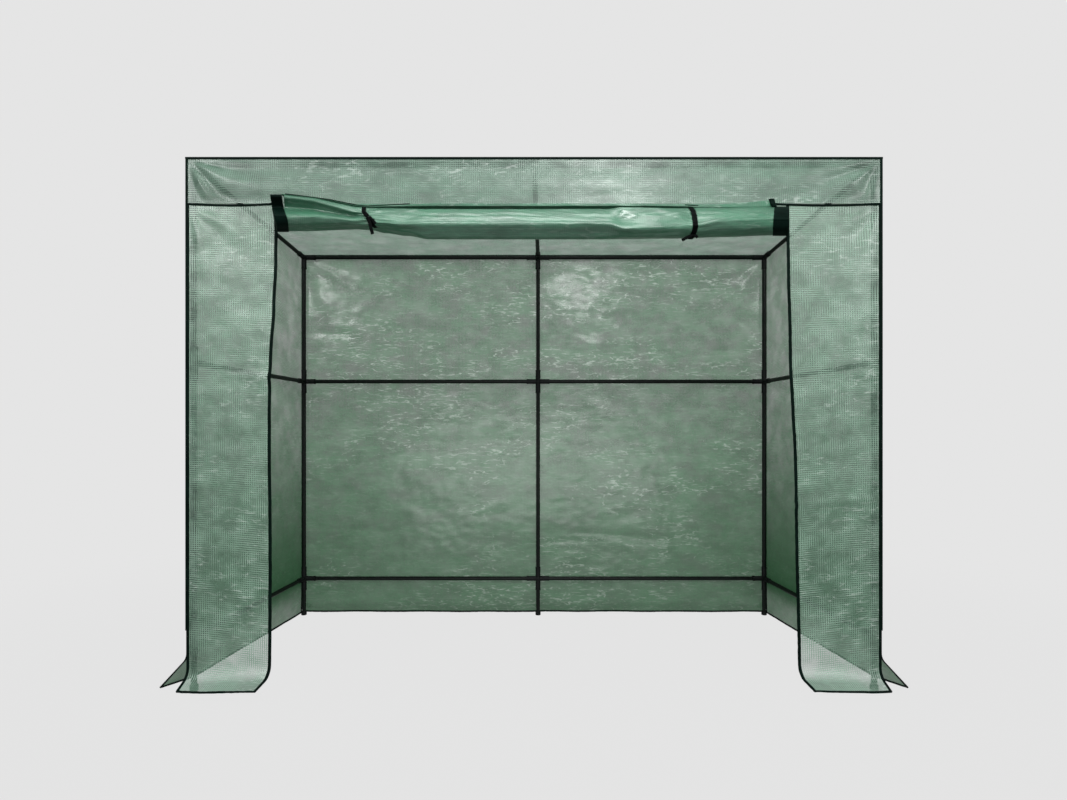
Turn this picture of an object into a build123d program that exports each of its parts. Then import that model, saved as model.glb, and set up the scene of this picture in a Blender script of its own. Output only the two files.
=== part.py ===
"""A walk-in greenhouse: a push-together steel tube frame under a reinforced film cover.

Millimetres, +Z up. The door is at -Y, and the origin is on the floor, at the middle of the
ground that the cover's flared skirts reach over.
"""

from build123d import *
from math import atan2, cos, hypot, sin, tan
import os

# Tube frame, from centre line to centre line
frame_width = 1956.0
frame_depth = 760.0
lower_rail_height = 155.0
middle_rail_height = 992.0
front_middle_height = 943.0
back_rail_height = 1519.0
front_rail_height = 1512.0
middle_post_shift = 17.0
tube_diameter = 16.0
tube_wall = 0.8

# Moulded push-fit joints and feet
socket_clearance = 0.1
sleeve_wall = 1.9
arm_length = 48.0
rim_length = 4.0
rim_step = 0.8
hub_radius = 12.5
socket_stop = 12.0
foot_height = 18.0
foot_floor = 3.0
foot_wall = 3.0
foot_bevel = 1.5

# Film cover
fabric_thickness = 1.5
cover_clearance = 0.3
piping_inset = 5.0
piping_proud = 1.5
valance_drop = 118.5
seam_width = 5.0
hem_width = 5.0
hem_thickness = 3.0

# Skirts at the cover's foot: where the cloth folds out, and how far and how low the hem hangs
front_fold_height = 54.0
front_outer_reach = 48.0
front_outer_hem_height = 24.0
front_door_reach = 88.0
front_door_hem_height = 38.0
side_fold_height = 97.0
side_front_reach = 76.0
side_front_hem_height = 14.0
side_dip_distance = 95.0
side_dip_reach = 38.0
side_dip_hem_height = 8.0
side_back_reach = 12.0
side_back_hem_height = 8.0
back_fold_height = 45.0
back_reach = 15.0
back_hem_height = 8.0
front_slit_top = 178.0
back_slit_top = 120.0

# Door opening between the front panels, and the tape along its edges
left_door_edge_top = 735.0
left_door_edge_waist = 750.0
door_edge_waist_height = 892.0
right_door_edge_top = 720.0
right_door_edge_foot = 754.0
tape_width = 9.5
tape_thickness = 3.0

# Door sheet, rolled up and tied under the valance
roll_left_end = -733.0
roll_right_end = 705.0
left_tie_place = -458.0
right_tie_place = 444.0
roll_bulge_place = -300.0
roll_left_height = 92.0
roll_left_depth = 70.0
roll_left_rise = 27.0
roll_pinch_height = 56.0
roll_pinch_depth = 78.0
roll_pinch_rise = 14.0
roll_full_height = 95.0
roll_full_depth = 76.0
roll_right_height = 79.0
roll_right_depth = 66.0
roll_right_rise = 6.0
roll_centre_drop = 64.0
left_binding_length = 44.0
right_binding_length = 30.0
flap_rise = 8.0
tie_zone = 30.0
ribbon_width = 14.0
ribbon_thickness = 1.2
knot_radius = 7.0
tail_length = 30.0

# Places that follow from the sizes above
tube_radius = tube_diameter / 2
bore_radius = tube_radius + socket_clearance
sleeve_radius = bore_radius + sleeve_wall
cover_offset = hub_radius + cover_clearance
cover_standoff = cover_offset + fabric_thickness
side_x = frame_width / 2
cover_x = side_x + cover_standoff
inset_x = cover_x - piping_inset
depth_shift = (front_door_reach + hem_width - back_reach) / 2
front_y = -frame_depth / 2 + depth_shift
back_y = frame_depth / 2 + depth_shift
cover_front = front_y - cover_standoff
cover_back = back_y + cover_standoff
inset_front = cover_front + piping_inset
inset_back = cover_back - piping_inset
piping_side = piping_inset + piping_proud
piping_shift = (piping_inset - piping_proud) / 2
seam_height = front_rail_height - valance_drop
seam_top = seam_height + seam_width / 2
seam_bottom = seam_height - seam_width / 2
roof_slope = (back_rail_height - front_rail_height) / frame_depth
roof_rise = cover_offset / cos(atan2(front_rail_height - back_rail_height, frame_depth))

UP = Vector(0, 0, 1)


def roof_top(y):
    """Height of the roof sheet's upper face at a depth y."""
    return front_rail_height + (y - front_y) * roof_slope + roof_rise + fabric_thickness


def save(piece, name):
    """Names a finished piece and writes it out."""
    piece.part.label = name
    export_step(piece.part, f"parts/{name}.step")


# Corners of the frame: every joint and foot, by name
left_x, right_x, middle_x = -side_x, side_x, middle_post_shift
joints = {
    "front_left_lower": Vector(left_x, front_y, lower_rail_height),
    "front_left_middle": Vector(left_x, front_y, front_middle_height),
    "front_left_top": Vector(left_x, front_y, front_rail_height),
    "front_right_lower": Vector(right_x, front_y, lower_rail_height),
    "front_right_middle": Vector(right_x, front_y, front_middle_height),
    "front_right_top": Vector(right_x, front_y, front_rail_height),
    "front_centre_top": Vector(0, front_y, front_rail_height),
    "back_left_lower": Vector(left_x, back_y, lower_rail_height),
    "back_left_middle": Vector(left_x, back_y, middle_rail_height),
    "back_left_top": Vector(left_x, back_y, back_rail_height),
    "back_centre_lower": Vector(middle_x, back_y, lower_rail_height),
    "back_centre_middle": Vector(middle_x, back_y, middle_rail_height),
    "back_centre_top": Vector(middle_x, back_y, back_rail_height),
    "back_right_lower": Vector(right_x, back_y, lower_rail_height),
    "back_right_middle": Vector(right_x, back_y, middle_rail_height),
    "back_right_top": Vector(right_x, back_y, back_rail_height),
}
post_places = {
    "front_left": (left_x, front_y),
    "front_right": (right_x, front_y),
    "back_left": (left_x, back_y),
    "back_centre": (middle_x, back_y),
    "back_right": (right_x, back_y),
}

# Tubes: each member of the frame runs through these joints, one length from joint to joint
levels = ["lower", "middle", "top"]
members = {f"{place}_post": [f"{place}_{level}" for level in levels] for place in post_places}
for level in levels:
    members[f"back_{level}_rail"] = [f"back_{place}_{level}" for place in ["left", "centre", "right"]]
members["front_top_rail"] = ["front_left_top", "front_centre_top", "front_right_top"]
for side in ["left", "right"]:
    members[f"{side}_lower_rail"] = [f"front_{side}_lower", f"back_{side}_lower"]
    members[f"{side}_middle_rail"] = [f"front_{side}_middle", f"back_{side}_middle"]
    members[f"{side}_rafter"] = [f"front_{side}_top", f"back_{side}_top"]
members["centre_rafter"] = ["front_centre_top", "back_centre_top"]

# Directions in which each joint has a sleeve
sleeves = {name: [] for name in joints}
for member, run in members.items():
    for first, second in zip(run, run[1:]):
        sleeves[first].append((joints[second] - joints[first]).normalized())
        sleeves[second].append((joints[first] - joints[second]).normalized())
    if member.endswith("_post"):
        sleeves[run[0]].append(-UP)


def disc(origin, along, radius):
    """A round section with its middle at a point, square to a direction."""
    with BuildSketch(Plane(origin=origin, z_dir=along)) as section:
        Circle(radius)
    return section.sketch


def tube(start, end):
    """One length of round tube between two points."""
    with BuildSketch(Plane(origin=start, z_dir=end - start)) as section:
        Circle(tube_radius)
        Circle(tube_radius - tube_wall, mode=Mode.SUBTRACT)
    extrude(section.sketch, amount=(end - start).length)


for member, run in members.items():
    with BuildPart() as member_tubes:
        if member.endswith("_post"):
            lowest = joints[run[0]]
            tube(Vector(lowest.X, lowest.Y, foot_floor), lowest - UP * socket_stop)
        for first, second in zip(run, run[1:]):
            along = (joints[second] - joints[first]).normalized()
            tube(joints[first] + along * socket_stop, joints[second] - along * socket_stop)
    save(member_tubes, member)


def push_fit_joint(centre, directions):
    """A rounded hub with a rimmed sleeve towards each tube, and a blind socket in each sleeve."""
    with Locations(Plane(origin=centre, z_dir=directions[0])):
        Sphere(hub_radius)
    for along in directions:
        rim_start = centre + along * (arm_length - rim_length)
        extrude(disc(centre, along, sleeve_radius), amount=arm_length)
        extrude(disc(rim_start, along, sleeve_radius + rim_step), amount=rim_length)
    for along in directions:
        socket = disc(centre + along * socket_stop, along, bore_radius)
        extrude(socket, amount=arm_length - socket_stop, mode=Mode.SUBTRACT)


for row in ["front", "back"]:
    for level in levels:
        with BuildPart() as row_joints:
            for name, centre in joints.items():
                if name.startswith(row) and name.endswith(level):
                    push_fit_joint(centre, sleeves[name])
        save(row_joints, f"{row}_{level}_joints")

# Feet: a cap under each post
with BuildPart() as post_feet:
    with BuildSketch(Plane.XY):
        with Locations(*post_places.values()):
            Circle(bore_radius + foot_wall)
    extrude(amount=foot_height)
    chamfer(post_feet.edges().filter_by(GeomType.CIRCLE), foot_bevel)
    with BuildSketch(Plane.XY.offset(foot_floor)):
        with Locations(*post_places.values()):
            Circle(bore_radius)
    extrude(amount=foot_height - foot_floor, mode=Mode.SUBTRACT)
save(post_feet, "post_feet")

# Roof sheet, on the pitch of the two top rails
with BuildPart() as roof_sheet:
    front_top, back_top = roof_top(inset_front), roof_top(inset_back)
    with BuildSketch(Plane.YZ):
        Polygon(
            (inset_front, front_top),
            (inset_front, front_top - fabric_thickness),
            (inset_back, back_top - fabric_thickness),
            (inset_back, back_top),
            align=None,
        )
    extrude(amount=inset_x, both=True)
save(roof_sheet, "roof_sheet")


def section_plane(origin, outward):
    """An upright plane across a wall: its X axis points out of the greenhouse, its Y axis up."""
    return Plane(origin=origin, x_dir=outward, z_dir=Vector(*outward).cross(UP))


def hanging_sheet(plane, top, fold, reach, hem, thickness):
    """Cross-section of a sheet that hangs straight, then folds outwards to its hem."""
    turn = atan2(reach, fold - hem)
    with BuildSketch(plane) as section:
        Polygon(
            (0, top),
            (0, fold),
            (reach, hem),
            (reach - thickness * cos(turn), hem - thickness * sin(turn)),
            (-thickness, fold - thickness * tan(turn / 2)),
            (-thickness, top),
            align=None,
        )
    return section.sketch


def hem_section(plane, fold, reach, hem):
    """Cross-section of the binding along a hem, butted against the sheet's cut edge."""
    turn = atan2(reach, fold - hem)
    lift = (hem_thickness - fabric_thickness) / 2
    out_x, out_z = sin(turn), -cos(turn)
    top_x, top_z = reach + lift * cos(turn), hem + lift * sin(turn)
    low_x, low_z = top_x - hem_thickness * cos(turn), top_z - hem_thickness * sin(turn)
    with BuildSketch(plane) as section:
        Polygon(
            (top_x, top_z),
            (top_x + hem_width * out_x, top_z + hem_width * out_z),
            (low_x + hem_width * out_x, low_z + hem_width * out_z),
            (low_x, low_z),
            align=None,
        )
    return section.sketch


# Back wall: straight to a small outward fold just above the floor
with BuildPart() as back_wall:
    back_section = hanging_sheet(
        section_plane((-inset_x, cover_back, 0), (0, 1, 0)),
        roof_top(cover_back) - piping_inset,
        back_fold_height,
        back_reach,
        back_hem_height,
        fabric_thickness,
    )
    extrude(back_section, amount=2 * inset_x)
save(back_wall, "back_wall")

# Side walls: the skirt kicks out at the front corner, dips, and narrows towards the back
side_stations = [
    (inset_front, side_front_reach, side_front_hem_height),
    (inset_front + side_dip_distance, side_dip_reach, side_dip_hem_height),
    (inset_back, side_back_reach, side_back_hem_height),
]
for side, sign in [("left", -1), ("right", 1)]:
    with BuildPart() as side_wall:
        side_sections = [
            hanging_sheet(
                section_plane((sign * cover_x, y, 0), (sign, 0, 0)),
                roof_top(y) - piping_inset,
                side_fold_height,
                reach,
                hem,
                fabric_thickness,
            )
            for y, reach, hem in side_stations
        ]
        loft(side_sections, ruled=True)
    save(side_wall, f"{side}_wall")

# Front valance, from the roof's edge down to the seam over the door
with BuildPart() as front_valance:
    valance_height = roof_top(cover_front) - piping_inset - seam_top
    with BuildSketch(Plane.XZ.offset(-cover_front - fabric_thickness)):
        with Locations((0, seam_top)):
            Rectangle(2 * inset_x, valance_height, align=(Align.CENTER, Align.MIN))
    extrude(amount=fabric_thickness)
save(front_valance, "front_valance")

# Door edges of the front panels, seen from the front, from the seam down past the hem
left_door_edge = [
    (-left_door_edge_top, seam_bottom),
    (-left_door_edge_waist, door_edge_waist_height),
    (-left_door_edge_waist, 0),
]
right_door_edge = [
    (right_door_edge_top, seam_bottom),
    (right_door_edge_foot, front_fold_height),
    (right_door_edge_foot, 0),
]


def front_skirt(x):
    """Reach and height of the front hem at a place x: it lifts and widens towards the door."""
    share = (inset_x - abs(x)) / (inset_x - left_door_edge_waist)
    reach = front_outer_reach + share * (front_door_reach - front_outer_reach)
    hem = front_outer_hem_height + share * (front_door_hem_height - front_outer_hem_height)
    return reach, hem


def front_sheet(outer_x, inner_x, thickness):
    """A sheet in the front plane between two places, with its skirt folded forwards."""
    sections = []
    for x in (outer_x, inner_x):
        reach, hem = front_skirt(x)
        plane = section_plane((x, cover_front, 0), (0, -1, 0))
        sections.append(hanging_sheet(plane, seam_bottom, front_fold_height, reach, hem, thickness))
    loft(sections, ruled=True)


def keep_between(outline):
    """Trims the part that is being made to an outline seen from the front."""
    with BuildSketch(Plane.XZ) as kept:
        Polygon(*outline, align=None)
    extrude(kept.sketch, amount=frame_depth, both=True, mode=Mode.INTERSECT)


for side, sign, edge in [("left", -1, left_door_edge), ("right", 1, right_door_edge)]:
    far_x = sign * (min(abs(x) for x, z in edge) - 2 * tape_width)
    tape_edge = [(x - sign * tape_width, z) for x, z in edge]
    outer_edge = [(sign * cover_x, 0), (sign * cover_x, seam_bottom)]
    with BuildPart() as front_panel:
        front_sheet(sign * inset_x, far_x, fabric_thickness)
        keep_between(outer_edge + edge)
    save(front_panel, f"front_{side}_panel")
    with BuildPart() as door_tape:
        front_sheet(sign * inset_x, far_x, tape_thickness)
        keep_between(edge + tape_edge[::-1])
    save(door_tape, f"{side}_door_tape")

# Piping along the cover's edges: a rounded bead that the sheets are sewn into
for row, edge_y, centre_y in [
    ("front", cover_front, cover_front + piping_shift),
    ("back", cover_back, cover_back - piping_shift),
]:
    with BuildPart() as top_piping:
        with BuildSketch(Plane.YZ):
            with Locations((centre_y, roof_top(edge_y) - piping_shift)):
                RectangleRounded(piping_side, piping_side, piping_proud)
        extrude(amount=cover_x + piping_proud, both=True)
    save(top_piping, f"{row}_top_piping")

with BuildPart() as side_top_piping:
    run_back = inset_back - inset_front
    for sign in (-1, 1):
        centre_x = sign * (cover_x - piping_shift)
        start = Vector(centre_x, inset_front, roof_top(inset_front) - piping_shift)
        with BuildSketch(Plane(origin=start, x_dir=(1, 0, 0), z_dir=(0, 1, 0))):
            RectangleRounded(piping_side, piping_side, piping_proud)
        extrude(amount=run_back * hypot(1, roof_slope), dir=(0, 1, roof_slope))
save(side_top_piping, "side_top_piping")

with BuildPart() as corner_piping:
    for edge_y, centre_y, slit_top in [
        (cover_front, cover_front + piping_shift, front_slit_top),
        (cover_back, cover_back - piping_shift, back_slit_top),
    ]:
        with BuildSketch(Plane.XY.offset(slit_top)):
            with Locations((-cover_x + piping_shift, centre_y), (cover_x - piping_shift, centre_y)):
                RectangleRounded(piping_side, piping_side, piping_proud)
        extrude(amount=roof_top(edge_y) - piping_inset - slit_top)
save(corner_piping, "corner_piping")

with BuildPart() as seam_piping:
    seam_depth = fabric_thickness + 2 * piping_proud
    for outer_x, door_x in [(-inset_x, -left_door_edge_top), (inset_x, right_door_edge_top)]:
        seam_plane = Plane(origin=(outer_x, 0, 0), x_dir=(0, 1, 0), z_dir=(door_x - outer_x, 0, 0))
        flip = 1 if door_x > outer_x else -1
        with BuildSketch(seam_plane):
            with Locations((cover_front + fabric_thickness / 2, flip * seam_height)):
                RectangleRounded(seam_depth, seam_width, piping_proud)
        extrude(amount=abs(door_x - outer_x))
save(seam_piping, "seam_piping")

# Bindings along the hems of the five skirts
with BuildPart() as hem_bindings:
    back_hems = [
        hem_section(
            section_plane((x, cover_back, 0), (0, 1, 0)), back_fold_height, back_reach, back_hem_height
        )
        for x in (-inset_x, inset_x)
    ]
    loft(back_hems, ruled=True)
    for sign in (-1, 1):
        side_hems = [
            hem_section(
                section_plane((sign * cover_x, y, 0), (sign, 0, 0)), side_fold_height, reach, hem
            )
            for y, reach, hem in side_stations
        ]
        loft(side_hems, ruled=True)
    for outer_x, door_x in [
        (-inset_x, -left_door_edge_waist + tape_width),
        (inset_x, right_door_edge_foot - tape_width),
    ]:
        front_hems = [
            hem_section(
                section_plane((x, cover_front, 0), (0, -1, 0)), front_fold_height, *front_skirt(x)
            )
            for x in (outer_x, door_x)
        ]
        loft(front_hems, ruled=True)
save(hem_bindings, "hem_bindings")

# Rolled door: the roll hangs from a flap that is sewn over the valance's seam
roll_back = cover_front - cover_clearance - fabric_thickness / 2
roll_centre = seam_height - roll_centre_drop


def roll_section(x, rise, height, depth, grow=0.0):
    """Cross-section of the roll at a place x, grown by a margin all round."""
    with BuildSketch(Plane.YZ.offset(x)) as section:
        with Locations((roll_back - depth / 2, roll_centre + rise)):
            Ellipse(depth / 2 + grow, height / 2 + grow)
    return section.sketch


left_end = (roll_left_rise, roll_left_height, roll_left_depth)
pinch = (roll_pinch_rise, roll_pinch_height, roll_pinch_depth)
full = (0.0, roll_full_height, roll_full_depth)
right_end = (roll_right_rise, roll_right_height, roll_right_depth)
left_bound = roll_left_end + left_binding_length
right_bound = roll_right_end - right_binding_length
left_zone = (left_tie_place - tie_zone / 2, left_tie_place + tie_zone / 2)
right_zone = (right_tie_place - tie_zone / 2, right_tie_place + tie_zone / 2)

with BuildPart() as rolled_door:
    loft([roll_section(left_bound, *left_end), roll_section(left_zone[0], *pinch)])
    extrude(roll_section(left_zone[0], *pinch), amount=tie_zone)
    loft([roll_section(left_zone[1], *pinch), roll_section(roll_bulge_place, *full)])
    extrude(roll_section(roll_bulge_place, *full), amount=right_zone[1] - roll_bulge_place)
    loft([roll_section(right_zone[1], *full), roll_section(right_bound, *right_end)])
    flap_left, flap_right = left_bound, right_bound
    flap_bottom, flap_top = roll_centre, seam_top + flap_rise
    with BuildSketch(Plane.XZ.offset(cover_clearance - cover_front)):
        with Locations(((flap_left + flap_right) / 2, flap_bottom)):
            Rectangle(
                flap_right - flap_left, flap_top - flap_bottom, align=(Align.CENTER, Align.MIN)
            )
    extrude(amount=fabric_thickness)
save(rolled_door, "rolled_door")

with BuildPart() as roll_end_bindings:
    extrude(roll_section(roll_left_end, *left_end), amount=left_binding_length)
    extrude(roll_section(right_bound, *right_end), amount=right_binding_length)
save(roll_end_bindings, "roll_end_bindings")

# Ties: a ribbon round the roll on the front side of the flap, knotted low down in front
for side, place, shape, tail_side in [
    ("left", left_tie_place, pinch, 1),
    ("right", right_tie_place, full, -1),
]:
    rise, height, depth = shape
    with BuildPart() as roll_tie:
        ribbon_edge = place - ribbon_width / 2
        band = roll_section(ribbon_edge, *shape, grow=cover_clearance + ribbon_thickness)
        extrude(band, amount=ribbon_width)
        knot_y = roll_back - depth / 2 - depth / 2 * cos(0.6)
        knot_z = roll_centre + rise - height / 2 * sin(0.6)
        with Locations(Plane(origin=(place, knot_y, knot_z), z_dir=(1, 0, 0))):
            Cylinder(knot_radius, ribbon_width)
        tail_top = Plane(
            origin=(place, knot_y - ribbon_thickness, knot_z),
            x_dir=(1, 0, 0),
            z_dir=(tail_side * 0.35, 0, -1),
        )
        with BuildSketch(tail_top):
            Rectangle(ribbon_width * 0.8, ribbon_thickness)
        extrude(amount=tail_length)
        roll_room = roll_section(place - tie_zone / 2, *shape, grow=cover_clearance)
        extrude(roll_room, amount=tie_zone, mode=Mode.SUBTRACT)
        flap_room = ribbon_thickness + fabric_thickness + 2 * cover_clearance
        with BuildSketch(Plane.XZ.offset(-cover_front - ribbon_thickness)):
            with Locations((place, flap_bottom - cover_clearance)):
                Rectangle(tie_zone, roll_full_height, align=(Align.CENTER, Align.MIN))
        extrude(amount=flap_room, mode=Mode.SUBTRACT)
    save(roll_tie, f"{side}_tie")
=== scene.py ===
import math

import bmesh
import bpy
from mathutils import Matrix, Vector, noise


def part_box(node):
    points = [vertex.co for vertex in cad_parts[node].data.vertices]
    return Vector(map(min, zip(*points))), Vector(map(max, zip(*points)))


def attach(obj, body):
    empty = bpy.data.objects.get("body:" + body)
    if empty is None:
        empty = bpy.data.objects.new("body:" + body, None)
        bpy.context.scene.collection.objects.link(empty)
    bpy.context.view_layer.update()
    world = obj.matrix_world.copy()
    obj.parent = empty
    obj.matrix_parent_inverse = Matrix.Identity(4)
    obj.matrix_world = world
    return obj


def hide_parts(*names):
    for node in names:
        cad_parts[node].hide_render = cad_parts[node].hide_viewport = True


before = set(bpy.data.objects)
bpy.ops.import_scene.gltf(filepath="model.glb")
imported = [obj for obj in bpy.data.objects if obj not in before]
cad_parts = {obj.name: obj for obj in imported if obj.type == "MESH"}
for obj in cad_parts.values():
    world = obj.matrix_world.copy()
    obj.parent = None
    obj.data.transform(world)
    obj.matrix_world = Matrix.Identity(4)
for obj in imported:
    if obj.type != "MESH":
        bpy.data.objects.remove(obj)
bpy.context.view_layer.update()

# Half the film's thickness, and how far its piping stands proud, in metres
FILM_HALF = 0.00075
PIPING_PROUD = 0.0015

# Places read from the frame, in metres
valance_low, valance_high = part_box("front_valance")
roof_low, roof_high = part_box("roof_sheet")
corner_low, corner_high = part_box("corner_piping")
panel_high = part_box("front_left_panel")[1]
back_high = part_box("back_wall")[1]
side_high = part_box("left_wall")[1]
roll_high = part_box("rolled_door")[1]
SIDE_X = corner_high.x - PIPING_PROUD
FRONT_Y = corner_low.y + PIPING_PROUD
BACK_Y = corner_high.y - PIPING_PROUD
INSET_X = roof_high.x
INSET_FRONT = roof_low.y
INSET_BACK = roof_high.y
SHEET_WIDTH = 2 * INSET_X
SHEET_DEPTH = INSET_BACK - INSET_FRONT
SEAM_TOP = valance_low.z
SEAM_BOTTOM = panel_high.z
SEAM_Z = (SEAM_TOP + SEAM_BOTTOM) / 2

# The film's weave: the distance between strong threads in metres, and the share that they cover
WEAVE_PITCH = 0.0061
THREAD_SHARE = 0.4

# The radius of a skirt's bend, and each binding's half width and half thickness, in metres
HEM_ROUND = 0.040
DOOR_TAPE = (0.0048, 0.0013)
HEM_BINDING = (0.0042, 0.0014)
SEAM_BINDING = (0.0031, 0.0022)
FLAP_PIPING = (0.0013, 0.0013)


# Building helpers

def smooth(low, high, value):
    """0 below low, 1 above high, and an even curve between."""
    share = min(1.0, max(0.0, (value - low) / (high - low)))
    return share * share * (3 - 2 * share)


def even(low, high, value):
    """0 at low and 1 at high, straight between."""
    return (value - low) / (high - low)


def read_stations(stations, place, share=even):
    """A value read off a list of (place, value) pairs, by the given share from each to the next."""
    if place <= stations[0][0]:
        return stations[0][1]
    for (start, first), (end, second) in zip(stations, stations[1:]):
        if place <= end:
            return first + (second - first) * share(start, end, place)
    return stations[-1][1]


def new_piece(name, shape, material):
    """Puts a finished bmesh into the scene as a piece that rides on the frame."""
    mesh = bpy.data.meshes.new(name)
    shape.to_mesh(mesh)
    shape.free()
    piece = bpy.data.objects.new(name, mesh)
    bpy.context.scene.collection.objects.link(piece)
    for polygon in mesh.polygons:
        polygon.use_smooth = True
    mesh.materials.append(material)
    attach(piece, "root")
    return piece


def shaped_grid(shape, across, along, size, place):
    """Adds a grid whose points go where place(u, v) says. Its UV map is in metres of cloth."""
    layers = shape.loops.layers.uv
    uv_layer = layers.get("UVMap") or layers.new("UVMap")
    made = bmesh.ops.create_grid(shape, x_segments=across, y_segments=along, size=0.5)
    spots = {vert: (vert.co.x + 0.5, vert.co.y + 0.5) for vert in made["verts"]}
    for face in {face for vert in made["verts"] for face in vert.link_faces}:
        for loop in face.loops:
            u, v = spots[loop.vert]
            loop[uv_layer].uv = (u * size[0], v * size[1])
    for vert, (u, v) in spots.items():
        vert.co = place(u, v)
    return made["verts"]


def cloth_piece(name, across, along, size, place, material):
    """One sheet of film, as a single smooth surface."""
    sheet = bmesh.new()
    shaped_grid(sheet, across, along, size, place)
    return new_piece(name, sheet, material)


def flipped(place):
    """The same surface with its grid run the other way, so that its faces point outwards."""
    return lambda u, v: place(1 - u, v)


def band_ring(angle, half_wide, half_thick):
    """A point on a band's flattened round section: across its width and through its thickness."""
    flatness = 2 / 2.6
    c, s = math.cos(angle), math.sin(angle)
    wide = math.copysign(abs(c) ** flatness, c) * half_wide
    thick = math.copysign(abs(s) ** flatness, s) * half_thick
    return wide, thick


def add_band(shape, path, halves, along, around=10, pucker=0.0, seed=0.0):
    """Adds a closed flat band. path(t) gives its middle, its width's direction and its normal."""
    half_wide, half_thick = halves
    steps = 64
    length = sum(
        (path((i + 1) / steps)[0] - path(i / steps)[0]).length for i in range(steps)
    )

    def place(u, v):
        middle, wide_way, thick_way = path(v)
        wide, thick = band_ring(u * math.tau, half_wide, half_thick)
        ripple = pucker * noise.noise(Vector((v * length * 90, seed, math.cos(u * math.tau) * 0.4)))
        return middle + wide_way * (wide + ripple * 0.6) + thick_way * (thick + ripple)

    verts = shaped_grid(shape, around, along, (4 * half_wide, length), place)
    bmesh.ops.remove_doubles(shape, verts=verts, dist=1e-6)
    rims = [edge for edge in shape.edges if edge.is_boundary]
    bmesh.ops.holes_fill(shape, edges=rims, sides=around)


def close_ring(shape):
    """Joins a wrapped grid's long edges and fills its two ends."""
    bmesh.ops.remove_doubles(shape, verts=shape.verts[:], dist=1e-6)
    bmesh.ops.holes_fill(shape, edges=[edge for edge in shape.edges if edge.is_boundary], sides=0)


def finish_closed(name, shape, material):
    """Turns the faces of closed shapes outwards and makes them a piece."""
    bmesh.ops.recalc_face_normals(shape, faces=shape.faces[:])
    return new_piece(name, shape, material)


# Shading helpers

class ShaderTree:
    """A node tree, with short ways to add the usual nodes and link them."""

    def __init__(self, tree):
        self.nodes = tree.nodes
        self.links = tree.links

    def feed(self, value, socket):
        """Links an output into a socket, or sets a plain value on it."""
        if isinstance(value, bpy.types.NodeSocket):
            self.links.new(value, socket)
        else:
            socket.default_value = value

    def node(self, kind, **values):
        """A node of a kind, with values for the inputs named in words joined by underscores."""
        made = self.nodes.new("ShaderNode" + kind)
        for name, value in values.items():
            self.feed(value, made.inputs[name.replace("_", " ")])
        return made

    def maths(self, operation, *values, clamp=False):
        made = self.nodes.new("ShaderNodeMath")
        made.operation = operation
        made.use_clamp = clamp
        for value, socket in zip(values, made.inputs):
            self.feed(value, socket)
        return made.outputs[0]

    def times(self, first, second):
        return self.maths("MULTIPLY", first, second)

    def mapped(self, vector, scale, location=(0, 0, 0), turn=0.0):
        made = self.node("Mapping", Vector=vector, Scale=scale, Location=location, Rotation=(0, 0, turn))
        return made.outputs[0]

    def noise(self, vector, scale, detail, rough):
        made = self.node("TexNoise", Vector=vector, Scale=scale, Detail=detail, Roughness=rough)
        return made.outputs["Fac"]

    def ranged(self, value, from_low, from_high, to_low, to_high):
        """A value moved from one range to another by an even curve."""
        made = self.node(
            "MapRange", Value=value, From_Min=from_low, From_Max=from_high, To_Min=to_low, To_Max=to_high,
        )
        made.interpolation_type = "SMOOTHSTEP"
        return made.outputs["Result"]

    def mixed(self, factor, first, second):
        """A colour between two."""
        made = self.nodes.new("ShaderNodeMix")
        made.data_type = "RGBA"
        for value, socket in zip((factor, first, second), (made.inputs[0], made.inputs[6], made.inputs[7])):
            self.feed(value, socket)
        return made.outputs[2]

    def blended(self, factor, first, second):
        """A shader between two."""
        made = self.nodes.new("ShaderNodeMixShader")
        for value, socket in zip((factor, first.outputs[0], second.outputs[0]), made.inputs):
            self.feed(value, socket)
        return made

    def seen_directly(self):
        """1 for what the camera sees straight on, in a reflection or through a clear surface."""
        path = self.node("LightPath")
        shine = self.maths("MAXIMUM", path.outputs["Is Glossy Ray"], path.outputs["Is Transmission Ray"])
        return self.maths("MAXIMUM", path.outputs["Is Camera Ray"], shine)


def solid_colour(colour):
    return tuple(min(1.0, value) for value in colour) + (1,)


def emptied_tree(holder):
    holder.use_nodes = True
    holder.node_tree.nodes.clear()
    return ShaderTree(holder.node_tree)


def add_creases(net, cloth, patches):
    """Creases of a crumpled film, shown pale as painted highlights: broken lines where noise passes its
    middle, and short dashes.
    """
    line_width = 0.017
    strokes = []
    for stretch, shift, turn in (((1.2, 5.5, 1), (1, 3, 2), 0.05), ((1.6, 5.0, 1), (7, 1, 5), 0.6)):
        field = net.noise(net.mapped(cloth, stretch, shift, turn), 3.2, 3, 0.62)
        off_line = net.maths("ABSOLUTE", net.maths("SUBTRACT", field, 0.5))
        strokes.append(net.ranged(off_line, 0, line_width, 1, 0))
    ridge = net.maths("MAXIMUM", *strokes)
    breaks = net.noise(net.mapped(cloth, (1, 2.6, 1), (4, 4, 1)), 24, 2, 0.75)
    long_strokes = net.times(ridge, net.ranged(breaks, 0.44, 0.62, 0, 1))
    specks = net.noise(net.mapped(cloth, (22, 150, 1), (2, 7, 3)), 1, 1, 0.5)
    speck_places = net.times(net.ranged(patches, 0.42, 0.6, 0.15, 1), 0.85)
    dashes = net.times(net.ranged(specks, 0.58, 0.70, 0, 1), speck_places)
    clusters = net.noise(net.mapped(cloth, (1, 2.4, 1), (6, 1, 2)), 2.6, 2, 0.5)
    return net.times(net.maths("MAXIMUM", long_strokes, dashes), net.ranged(clusters, 0.43, 0.62, 0.18, 1))


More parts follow.
